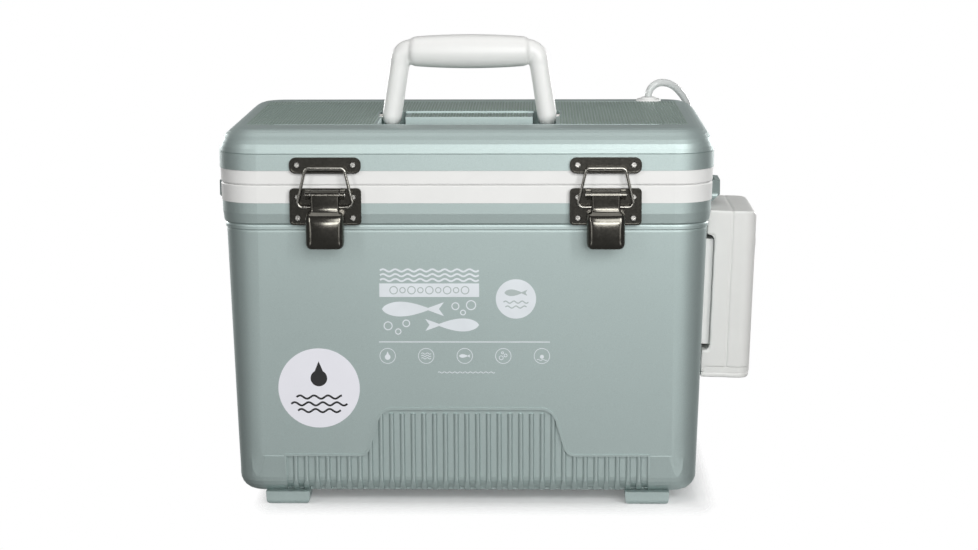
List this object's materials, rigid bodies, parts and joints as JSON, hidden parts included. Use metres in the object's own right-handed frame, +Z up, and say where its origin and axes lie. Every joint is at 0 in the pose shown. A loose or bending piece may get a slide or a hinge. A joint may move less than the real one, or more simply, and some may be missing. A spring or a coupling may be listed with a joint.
{
  "type": "aerated bait bucket",
  "caption": "Hard-sided insulated live bait bucket with hinged lid, steel draw latches, fold-down handle and a side-mounted battery air pump feeding an air stone.",
  "frame": {"origin": "on the ground under the middle of the whole object, with its latches, hinges and pump", "axes": "+X to the pump, +Y to the hinges, +Z up; the latches face -Y"},
  "size_m": [0.4155, 0.2703, 0.3449],
  "materials": {
    "shell_green": "satin",
    "white_plastic": "satin",
    "foam": "matte",
    "dark_steel": "polished",
    "bright_steel": "satin",
    "pump_plastic": "satin",
    "black_rubber": "matte",
    "tan_rubber": "matte",
    "cell_sleeve": "gloss",
    "black_plastic": "matte",
    "board": "satin",
    "green_lens": "gloss",
    "clear_tube": "satin",
    "stone": "rough"
  },
  "bodies": {
    "tub": {"outer_shell": "shell_green", "body_foam": "foam", "inner_liner": "white_plastic", "strap_lugs": "shell_green", "strap_screws": "bright_steel", "latch_bases": "dark_steel", "latch_screws": "bright_steel", "lever_pins": "bright_steel", "hinge_tub_leaves": "bright_steel", "hinge_pins": "bright_steel", "hinge_screws": "bright_steel", "pump_bracket": "white_plastic", "bracket_screws": "bright_steel", "pump_back_shell": "pump_plastic", "pump_front_shell": "pump_plastic", "pump_bottom_cap": "pump_plastic", "pump_seal": "black_rubber", "battery_cells": "cell_sleeve", "battery_tray": "black_plastic", "pump_motor": "bright_steel", "air_block": "black_rubber", "circuit_board": "board", "led_lens": "green_lens", "port_plug": "black_rubber", "air_nozzle": "pump_plastic", "case_screws": "bright_steel", "pump_bumper": "tan_rubber", "air_tube_outer": "clear_tube", "air_tube_inner": "clear_tube", "air_stone": "stone"},
    "lid": {"lid_shell": "shell_green", "lid_foam": "foam", "lid_liner": "white_plastic", "lid_gasket": "black_rubber", "latch_keepers": "dark_steel", "keeper_screws": "bright_steel", "hinge_lid_leaves": "bright_steel", "lid_hinge_screws": "bright_steel", "tube_grommet": "white_plastic", "handle_pins": "bright_steel"},
    "handle": {"carry_handle": "white_plastic"},
    "lever_left": {"latch_lever_left": "dark_steel"},
    "lever_right": {"latch_lever_right": "dark_steel"},
    "bail_left": {"latch_bail_left": "dark_steel"},
    "bail_right": {"latch_bail_right": "dark_steel"},
    "crank": {"pump_crank": "bright_steel"},
    "button": {"power_button": "black_rubber"}
  },
  "joints": [
    {"name": "lid_hinge", "type": "hinge", "parent": "tub", "child": "lid", "pos_m": [-0.01339, 0.13215, 0.2487], "axis": [-1, 0, 0], "range_deg": [0, 105], "deforming": ["air_tube_outer", "air_tube_inner"]},
    {"name": "handle_fold", "type": "hinge", "parent": "lid", "child": "handle", "pos_m": [-0.01339, 0.00545, 0.281], "axis": [1, 0, 0], "range_deg": [0, 90]},
    {"name": "lever_left_swing", "type": "hinge", "parent": "tub", "child": "lever_left", "pos_m": [-0.11589, -0.12365, 0.237], "axis": [-1, 0, 0], "range_deg": [0, 120]},
    {"name": "lever_right_swing", "type": "hinge", "parent": "tub", "child": "lever_right", "pos_m": [0.08911, -0.12365, 0.237], "axis": [-1, 0, 0], "range_deg": [0, 120]},
    {"name": "bail_left_swing", "type": "hinge", "parent": "lever_left", "child": "bail_left", "pos_m": [-0.11589, -0.12365, 0.228], "axis": [-1, 0, 0], "range_deg": [-132, 0]},
    {"name": "bail_right_swing", "type": "hinge", "parent": "lever_right", "child": "bail_right", "pos_m": [0.08911, -0.12365, 0.228], "axis": [-1, 0, 0], "range_deg": [-132, 0]},
    {"name": "crank_spin", "type": "hinge", "parent": "tub", "child": "crank", "pos_m": [0.18662, 0.02745, 0.1012], "axis": [0.0347, 0, 0.9994], "continuous": true},
    {"name": "button_press", "type": "slide", "parent": "tub", "child": "button", "axis": [-0.9994, 0, 0.0347], "range_m": [0, 0.0015], "stiffness_N_per_m": 500}
  ],
  "couplings": [
    {"joint": "bail_left_swing", "follows": "lever_left_swing", "ratio": -1.1},
    {"joint": "bail_right_swing", "follows": "lever_right_swing", "ratio": -1.1}
  ]
}
